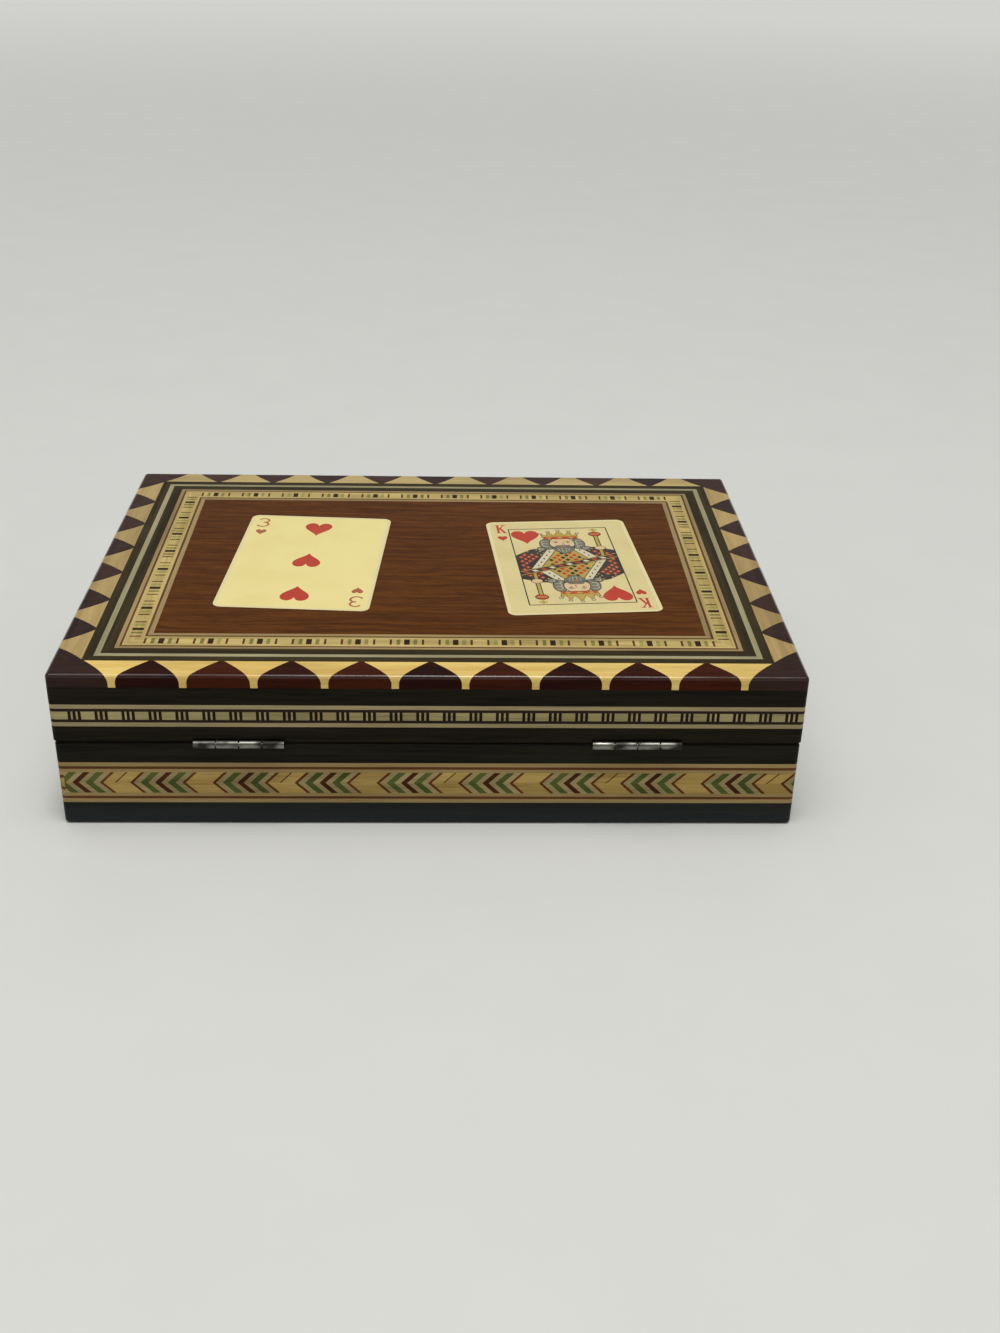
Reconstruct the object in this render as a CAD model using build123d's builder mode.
from build123d import *
import os
from math import atan, cos, degrees, pi, radians, sin, sqrt

# Inlaid wooden box for playing cards with a hinged lid, in millimetres.
# X runs along the long sides, the hinges are on the +Y side, and the origin
# is the centre of the underside with +Z up.

# Box carcass
lid_width = 196.6
lid_depth = 143.6
lid_height = 20.2
base_height = 25.3
overhang = 0.2             # the lid stands out past the base on every side
wall = 7.0
corner_radius = 1.2
foot_radius = 1.1
rim_chamfer = 0.6
bottom_thickness = 4.0
bottom_rabbet = 3.0
divider_thickness = 4.0
divider_drop = 2.0         # from the rim down to the top of the divider
housing_depth = 2.0        # how far the divider is let into the walls
felt_thickness = 0.8
felt_gap = 0.3

# Veneer and the arched border round the lid's top edge
veneer = 1.4
border_top = 7.8           # border width on the top face
border_side = 3.7          # border height on the side faces
edge_radius = 1.0
long_pieces = 10           # pale pieces along each long edge
short_pieces = 7
stem_width = 1.9
arch_bulge = 0.8
arch_spring = 2.05         # how far down the side the curve of the arch ends
arch_tip = 0.7             # half the width of the blunt tip

# Stringing lines of the lid, from the border inwards
dark_outer_line = 2.6
grey_line = 1.5
dark_inner_line = 3.0
tan_outer_line = 1.05
red_outer_line = 0.6
tick_band_width = 5.2
red_inner_line = 0.65
tan_inner_line = 1.3

# Inlaid cards
card_width = 44.0
card_length = 67.0
card_radius = 2.5
card_thickness = 0.3
card_sink = 0.05           # card face below the panel face
card_gap = 0.1
three_place = (37.6, -0.8)
three_turn = -3.5
king_place = (-40.7, 0.9)
king_turn = 4.5

# Ladder banding let into the lid walls
inlay_depth = 1.4
lid_band_rise = 5.0        # from the lid rim up to the banding
lid_edge_line = 1.2
lid_dark_line = 0.85
ladder_height = 2.35

# Chevron banding let into the base walls
base_band_rise = 6.8       # from the underside up to the banding
base_edge_line = 1.2
base_brown_line = 0.8
base_inner_line = 1.0
chevron_height = 6.4

# Butt hinges and their screws
hinge_places = {"left": -54.5, "right": 50.0}
hinge_length = 23.6
hinge_stand_off = 0.5      # pin axis behind the lid's back face
knuckle_radius = 1.15
knuckle_gap = 0.4
knuckle_clearance = 0.3
knuckles = 4
pin_radius = 0.55
pin_clearance = 0.05
leaf_thickness = 0.6
leaf_sink = 0.05           # leaf face below the rim
leaf_reach = 6.3           # from the pin axis to the inner edge of the leaf
mortise_gap = 0.15
screw_spacing = 15.0
screw_setback = 3.9        # from the pin axis
screw_length = 8.0
screw_radius = 0.8
screw_head_radius = 1.5
screw_sides = 8            # few sides keep the small screws light
screw_gap = 0.05

# Sizes that follow from the ones above
base_width = lid_width - 2 * overhang
base_depth = lid_depth - 2 * overhang
inner_width = base_width - 2 * wall
inner_depth = base_depth - 2 * wall
top = base_height + lid_height
lid_wall_top = top - border_side
panel_top = top - veneer
field_width = lid_width - 2 * border_top
field_depth = lid_depth - 2 * border_top
long_pitch = field_width / long_pieces
short_pitch = field_depth / short_pieces
lid_band_low = base_height + lid_band_rise
lid_band_height = 2 * lid_edge_line + 2 * lid_dark_line + ladder_height
base_band_height = 2 * (base_edge_line + base_brown_line + base_inner_line) + chevron_height
hinge_y = lid_depth / 2 + hinge_stand_off
spare = 1.0                # cutters reach this far past what they cut

os.makedirs("parts", exist_ok=True)


def outer_faces(width, depth):
    """The four sides as seen from outside: name, plane with x to the right, length."""
    return [
        ("front", Plane((0, -depth / 2, 0), x_dir=(1, 0, 0), z_dir=(0, -1, 0)), width),
        ("back", Plane((0, depth / 2, 0), x_dir=(-1, 0, 0), z_dir=(0, 1, 0)), width),
        ("left", Plane((-width / 2, 0, 0), x_dir=(0, -1, 0), z_dir=(-1, 0, 0)), depth),
        ("right", Plane((width / 2, 0, 0), x_dir=(0, 1, 0), z_dir=(1, 0, 0)), depth),
    ]


# Screws: a countersunk wood screw that points down from the origin, with its head in the leaf

def screw_body(gap):
    """Head and shank round Z; a gap makes the hole that the screw sits in."""
    flat_share = cos(pi / screw_sides)
    head_slope = degrees(atan((screw_head_radius - screw_radius) * flat_share / leaf_thickness))
    with BuildPart() as body:
        with BuildSketch():
            RegularPolygon(screw_head_radius + gap, screw_sides)
        extrude(amount=-leaf_thickness)
        draft(body.faces().filter_by(Axis.Z, reverse=True), neutral_plane=Plane.XY, angle=-head_slope)
        with BuildSketch(Plane.XY.offset(-leaf_thickness)):
            RegularPolygon(screw_radius + gap, screw_sides)
        extrude(amount=leaf_thickness - screw_length - gap)
    return body.part


screw = screw_body(0)
screw_hole = screw_body(screw_gap)


def screw_locations(turn):
    """Screw places on the leaf faces: turn 0 points down into the base, 180 up into the lid."""
    face = base_height - leaf_sink if turn == 0 else base_height + leaf_sink
    return [
        Location((place + side * screw_spacing / 2, hinge_y - screw_setback, face), (turn, 0, 0))
        for place in hinge_places.values()
        for side in (-1, 1)
    ]


def pin_plane(x):
    """Plane across the hinge pin at one place along it."""
    return Plane((x, hinge_y, base_height), x_dir=(0, 1, 0), z_dir=(1, 0, 0))


def cut_hinge_seats(low):
    """Leaf mortises, knuckle notches and screw holes, cut from the wall in the active builder."""
    mortise_end = hinge_y + spare
    mortise_start = hinge_y - leaf_reach - mortise_gap
    for place in hinge_places.values():
        with BuildSketch(Plane.XY.offset(low)) as mortise:
            with Locations((place, (mortise_start + mortise_end) / 2)):
                Rectangle(hinge_length + 2 * mortise_gap, mortise_end - mortise_start)
        extrude(mortise.sketch, amount=leaf_thickness + leaf_sink, mode=Mode.SUBTRACT)
        with BuildSketch(pin_plane(place)) as notch:
            Circle(knuckle_radius + knuckle_clearance)
        notch_reach = hinge_length / 2 + mortise_gap
        extrude(notch.sketch, amount=notch_reach, both=True, mode=Mode.SUBTRACT)


def cut_band_groove(width, depth, low, height):
    """Groove for a banding, cut all round the frame in the active builder."""
    with BuildSketch(Plane.XY.offset(low)) as groove:
        Rectangle(width + spare, depth + spare)
        Rectangle(width - 2 * inlay_depth, depth - 2 * inlay_depth, mode=Mode.SUBTRACT)
    extrude(groove.sketch, amount=height, mode=Mode.SUBTRACT)


def export_mitred_walls(frame, width, depth, prefix):
    """Saw a frame into four walls along the mitres at its corners and write them."""
    reach = depth / 2
    half_x = width / 2 + spare
    half_y = depth / 2 + spare
    ridge = width / 2 - reach
    sectors = {
        "front": [(-half_x, -half_y), (half_x, -half_y), (ridge, 0), (-ridge, 0)],
        "back": [(half_x, half_y), (-half_x, half_y), (-ridge, 0), (ridge, 0)],
        "left": [(-half_x, half_y), (-half_x, -half_y), (-ridge, 0)],
        "right": [(half_x, -half_y), (half_x, half_y), (ridge, 0)],
    }
    for side, corners in sectors.items():
        with BuildPart() as wall_piece:
            add(frame)
            with BuildSketch():
                Polygon(*corners, align=None)
            extrude(amount=top, mode=Mode.INTERSECT)
        wall_piece.part.label = f"{prefix}_{side}"
        export_step(wall_piece.part, f"parts/{prefix}_{side}.step")


# Base walls: one frame with rounded corners and feet, sawn into four mitred boards

with BuildPart() as base_frame:
    with BuildSketch():
        RectangleRounded(base_width, base_depth, corner_radius)
        Rectangle(inner_width, inner_depth, mode=Mode.SUBTRACT)
    extrude(amount=base_height)
    fillet(base_frame.faces().sort_by(Axis.Z)[0].outer_wire().edges(), foot_radius)
    chamfer(base_frame.faces().sort_by(Axis.Z)[-1].outer_wire().edges(), rim_chamfer)
    with BuildSketch():
        Rectangle(inner_width + 2 * bottom_rabbet, inner_depth + 2 * bottom_rabbet)
    extrude(amount=bottom_thickness, mode=Mode.SUBTRACT)
    with BuildSketch(Plane.XY.offset(bottom_thickness)):
        Rectangle(divider_thickness, inner_depth + 2 * housing_depth)
    extrude(amount=base_height - divider_drop - bottom_thickness, mode=Mode.SUBTRACT)
    cut_band_groove(base_width, base_depth, base_band_rise, base_band_height)
    cut_hinge_seats(base_height - leaf_thickness - leaf_sink)
    with Locations(*screw_locations(0)):
        add(screw_hole, mode=Mode.SUBTRACT)

export_mitred_walls(base_frame.part, base_width, base_depth, "base_wall")

# Lid walls

with BuildPart() as lid_frame:
    with BuildSketch(Plane.XY.offset(base_height)):
        RectangleRounded(lid_width, lid_depth, corner_radius)
        Rectangle(inner_width, inner_depth, mode=Mode.SUBTRACT)
    extrude(amount=lid_wall_top - base_height)
    chamfer(lid_frame.faces().sort_by(Axis.Z)[0].outer_wire().edges(), rim_chamfer)
    cut_band_groove(lid_width, lid_depth, lid_band_low, lid_band_height)
    cut_hinge_seats(base_height)
    with Locations(*screw_locations(180)):
        add(screw_hole, mode=Mode.SUBTRACT)

export_mitred_walls(lid_frame.part, lid_width, lid_depth, "lid_wall")

# Inside of the base: bottom board in its rabbet, divider in its housings, felt on the floor

with BuildPart() as base_bottom:
    with BuildSketch():
        Rectangle(inner_width + 2 * bottom_rabbet, inner_depth + 2 * bottom_rabbet)
    extrude(amount=bottom_thickness)
base_bottom.part.label = "base_bottom"
export_step(base_bottom.part, "parts/base_bottom.step")

with BuildPart() as divider:
    with BuildSketch(Plane.XY.offset(bottom_thickness)):
        Rectangle(divider_thickness, inner_depth + 2 * housing_depth)
    extrude(amount=base_height - divider_drop - bottom_thickness)
divider.part.label = "divider"
export_step(divider.part, "parts/divider.step")

bay_width = (inner_width - divider_thickness) / 2
bay_centre = (inner_width + divider_thickness) / 4
for side, sign in (("left", -1), ("right", 1)):
    with BuildPart() as felt:
        with BuildSketch(Plane.XY.offset(bottom_thickness)):
            with Locations((sign * bay_centre, 0)):
                Rectangle(bay_width - 2 * felt_gap, inner_depth - 2 * felt_gap)
        extrude(amount=felt_thickness)
    felt.part.label = f"felt_{side}"
    export_step(felt.part, f"parts/felt_{side}.step")

# Bandings on the sides: each side's strip starts behind the end of its left neighbour
# and runs out to the right-hand corner, where it is rounded with the box

def banding(width, depth, draw_pieces):
    """Pieces of one kind on all four sides; draw_pieces sketches one side of a given length."""
    solids = []
    for _, plane, length in outer_faces(width, depth):
        with BuildPart() as pieces:
            with BuildSketch(plane.offset(-inlay_depth)):
                draw_pieces(length)
            extrude(amount=inlay_depth + spare)
            with BuildSketch():
                RectangleRounded(width, depth, corner_radius)
            extrude(amount=top, mode=Mode.INTERSECT)
        solids += pieces.part.solids()
    return Compound(solids)


def draw_lines(height, lows):
    """Sketcher for straight lines of one height, at the given levels."""
    def draw(length):
        for low in lows:
            with Locations((inlay_depth / 2, low + height / 2)):
                Rectangle(length - inlay_depth, height)
    return draw


base_edge_lows = [base_band_rise, base_band_rise + base_band_height - base_edge_line]
base_brown_lows = [
    base_band_rise + base_edge_line,
    base_band_rise + base_band_height - base_edge_line - base_brown_line,
]
base_inner_lows = [
    base_band_rise + base_edge_line + base_brown_line,
    base_band_rise + base_edge_line + base_brown_line + base_inner_line + chevron_height,
]
base_bandings = {
    "base_band_edge_lines": draw_lines(base_edge_line, base_edge_lows),
    "base_band_brown_lines": draw_lines(base_brown_line, base_brown_lows),
    "base_band_inner_lines": draw_lines(base_inner_line, base_inner_lows),
    "chevron_band": draw_lines(chevron_height, [base_inner_lows[0] + base_inner_line]),
}
for name, draw_pieces in base_bandings.items():
    strips = banding(base_width, base_depth, draw_pieces)
    strips.label = name
    export_step(strips, f"parts/{name}.step")

lid_edge_lows = [lid_band_low, lid_band_low + lid_band_height - lid_edge_line]
lid_dark_lows = [
    lid_band_low + lid_edge_line,
    lid_band_low + lid_edge_line + lid_dark_line + ladder_height,
]
lid_bandings = {
    "lid_band_edge_lines": draw_lines(lid_edge_line, lid_edge_lows),
    "lid_band_dark_lines": draw_lines(lid_dark_line, lid_dark_lows),
    "ladder_band": draw_lines(ladder_height, [lid_dark_lows[0] + lid_dark_line]),
}
for name, draw_pieces in lid_bandings.items():
    strips = banding(lid_width, lid_depth, draw_pieces)
    strips.label = name
    export_step(strips, f"parts/{name}.step")

# Lid top: a core board on the walls, with all the veneers glued to it

with BuildPart() as lid_panel:
    with BuildSketch(Plane.XY.offset(lid_wall_top)):
        Rectangle(lid_width - 2 * veneer, lid_depth - 2 * veneer)
    extrude(amount=panel_top - lid_wall_top)
lid_panel.part.label = "lid_panel"
export_step(lid_panel.part, "parts/lid_panel.step")

# Arched border: pieces cut through the lid's edge along its diagonal, so that each pointed
# arch runs on over the rounded edge from the side face to the top face

with BuildPart() as border_ring:
    with BuildSketch(Plane.XY.offset(lid_wall_top)):
        RectangleRounded(lid_width, lid_depth, corner_radius)
    extrude(amount=border_side)
    fillet(border_ring.faces().sort_by(Axis.Z)[-1].edges(), edge_radius)
    add(lid_panel.part, mode=Mode.SUBTRACT)
    with BuildSketch(Plane.XY.offset(panel_top)):
        Rectangle(field_width, field_depth)
    extrude(amount=veneer, mode=Mode.SUBTRACT)

slope = sqrt(0.5)          # distances on top and side as the diagonal view shows them
arch_top = border_top * slope
arch_foot = -border_side * slope


def arch_outline(pitch):
    """Pointed arch between two stems, in the diagonal view of the edge."""
    half = (pitch - stem_width) / 2
    tip = (arch_tip, arch_top)
    spring = (half, -arch_spring * slope)
    with BuildSketch() as arch:
        with BuildLine():
            flank = SagittaArc(tip, spring, arch_bulge, mode=Mode.PRIVATE)
            Polyline((0, arch_top + spare), (arch_tip, arch_top + spare), tip, flank @ 0.5, spring)
            Polyline(spring, (half, arch_foot - spare), (0, arch_foot - spare))
            mirror(about=Plane.YZ)
        make_face()
    return arch.sketch


def diagonal_plane(face):
    """Plane through the lid's top edge on one side, seen along the diagonal."""
    edge = face.origin + Vector(0, 0, top)
    return Plane(edge, x_dir=face.x_dir, z_dir=face.z_dir + Vector(0, 0, 1))


def draw_pale(pitch, count):
    """Sketch of the pale pieces along one edge: what the arches leave between them."""
    with Locations((0, (arch_top + arch_foot) / 2)):
        Rectangle(pitch * count, arch_top - arch_foot + 2 * spare)
    with GridLocations(pitch, 0, count + 1, 1):
        add(arch_outline(pitch), mode=Mode.SUBTRACT)


def draw_arches(pitch, count):
    """Sketch of the whole arches along one edge."""
    with GridLocations(pitch, 0, count - 1, 1):
        add(arch_outline(pitch))


for side, face, length in outer_faces(lid_width, lid_depth):
    pitch, count = (long_pitch, long_pieces) if length == lid_width else (short_pitch, short_pieces)
    for kind, draw_pieces in (("pale", draw_pale), ("arches", draw_arches)):
        with BuildPart() as border:
            add(border_ring.part)
            with BuildSketch(diagonal_plane(face)):
                draw_pieces(pitch, count)
            extrude(amount=border_top, both=True, mode=Mode.INTERSECT)
        border.part.label = f"border_{kind}_{side}"
        export_step(border.part, f"parts/border_{kind}_{side}.step")

with BuildPart() as border_corners:
    add(border_ring.part)
    for side, face, length in outer_faces(lid_width, lid_depth):
        pitch, count = (long_pitch, long_pieces) if length == lid_width else (short_pitch, short_pieces)
        with BuildSketch(diagonal_plane(face)):
            with Locations((0, (arch_top + arch_foot) / 2)):
                Rectangle(pitch * count, arch_top - arch_foot + 2 * spare)
            with GridLocations(pitch * count, 0, 2, 1):
                add(arch_outline(pitch), mode=Mode.SUBTRACT)
        extrude(amount=border_top, both=True, mode=Mode.SUBTRACT)
border_corners.part.label = "border_corners"
export_step(border_corners.part, "parts/border_corners.step")

# Stringing: mitred frames of straight lines, one inside the other

def mitred_frame(width, depth, line):
    """Four strips mitred at the corners, flush with the lid's top."""
    half_x, half_y = width / 2, depth / 2
    corners = [(-half_x, -half_y), (half_x, -half_y), (half_x, half_y), (-half_x, half_y)]
    solids = []
    for index, (x, y) in enumerate(corners):
        next_x, next_y = corners[(index + 1) % len(corners)]
        inward = [(x * (1 - line / half_x), y * (1 - line / half_y)) for x, y in ((next_x, next_y), (x, y))]
        with BuildPart() as strip:
            with BuildSketch(Plane.XY.offset(panel_top)):
                Polygon((x, y), (next_x, next_y), *inward, align=None)
            extrude(amount=veneer)
        solids += strip.part.solids()
    return Compound(solids)


stringing = {
    "stringing_dark_outer": dark_outer_line,
    "stringing_grey": grey_line,
    "stringing_dark_inner": dark_inner_line,
    "stringing_tan_outer": tan_outer_line,
    "stringing_red_outer": red_outer_line,
    "tick_band": tick_band_width,
    "stringing_red_inner": red_inner_line,
    "stringing_tan_inner": tan_inner_line,
}
frame_width, frame_depth = field_width, field_depth
for name, line in stringing.items():
    strips = mitred_frame(frame_width, frame_depth, line)
    strips.label = name
    export_step(strips, f"parts/{name}.step")
    frame_width -= 2 * line
    frame_depth -= 2 * line

# Centre panel with shallow seats for the two cards

def card_plane(place, turn):
    """Floor of a card's seat, turned with the card."""
    along = (cos(radians(turn)), sin(radians(turn)), 0)
    return Plane((*place, top - card_sink - card_thickness), x_dir=along, z_dir=(0, 0, 1))


cards = {
    "card_three": card_plane(three_place, three_turn),
    "card_king": card_plane(king_place, king_turn),
}
with BuildPart() as centre_panel:
    with BuildSketch(Plane.XY.offset(panel_top)):
        Rectangle(frame_width, frame_depth)
    extrude(amount=veneer)
    for seat in cards.values():
        with BuildSketch(seat):
            RectangleRounded(
                card_width + 2 * card_gap, card_length + 2 * card_gap, card_radius + card_gap
            )
        extrude(amount=card_thickness + card_sink, mode=Mode.SUBTRACT)
centre_panel.part.label = "centre_panel"
export_step(centre_panel.part, "parts/centre_panel.step")

for name, seat in cards.items():
    with BuildPart() as card:
        with BuildSketch(seat):
            RectangleRounded(card_width, card_length, card_radius)
        extrude(amount=card_thickness)
    card.part.label = name
    export_step(card.part, f"parts/{name}.step")

# Hinges: two leaves with interleaved knuckles on a pin, let into the rims

knuckle_length = (hinge_length - (knuckles - 1) * knuckle_gap) / knuckles
knuckle_pitch = knuckle_length + knuckle_gap
plate_edge = hinge_y - knuckle_radius - knuckle_clearance
plate_back = hinge_y - leaf_reach


def hinge_leaf(place, low, first, turn):
    """Leaf plate with tabs that run into every second knuckle, starting with the first."""
    own = [
        place + (index - (knuckles - 1) / 2) * knuckle_pitch for index in range(first, knuckles, 2)
    ]
    with BuildPart() as leaf:
        with BuildSketch(Plane.XY.offset(low)):
            with Locations((place, (plate_back + plate_edge) / 2)):
                Rectangle(hinge_length, plate_edge - plate_back)
            with Locations(*[(x, (plate_back + hinge_y) / 2) for x in own]):
                Rectangle(knuckle_length, hinge_y - plate_back)
        extrude(amount=leaf_thickness)
        for x in own:
            with BuildSketch(pin_plane(x)):
                Circle(knuckle_radius)
            extrude(amount=knuckle_length / 2, both=True)
        with BuildSketch(pin_plane(place)):
            Circle(pin_radius + pin_clearance)
        extrude(amount=hinge_length / 2, both=True, mode=Mode.SUBTRACT)
        with Locations(*screw_locations(turn)):
            add(screw_hole, mode=Mode.SUBTRACT)
    return leaf.part


for side, place in hinge_places.items():
    base_leaf = hinge_leaf(place, base_height - leaf_sink - leaf_thickness, 0, 0)
    base_leaf.label = f"hinge_{side}_base_leaf"
    export_step(base_leaf, f"parts/hinge_{side}_base_leaf.step")
    lid_leaf = hinge_leaf(place, base_height + leaf_sink, 1, 180)
    lid_leaf.label = f"hinge_{side}_lid_leaf"
    export_step(lid_leaf, f"parts/hinge_{side}_lid_leaf.step")
    with BuildPart() as pin:
        with BuildSketch(pin_plane(place)):
            Circle(pin_radius)
        extrude(amount=hinge_length / 2, both=True)
    pin.part.label = f"hinge_{side}_pin"
    export_step(pin.part, f"parts/hinge_{side}_pin.step")

for name, turn in (("hinge_base_screws", 0), ("hinge_lid_screws", 180)):
    with BuildPart() as screws:
        with Locations(*screw_locations(turn)):
            add(screw)
    screws.part.label = name
    export_step(screws.part, f"parts/{name}.step")
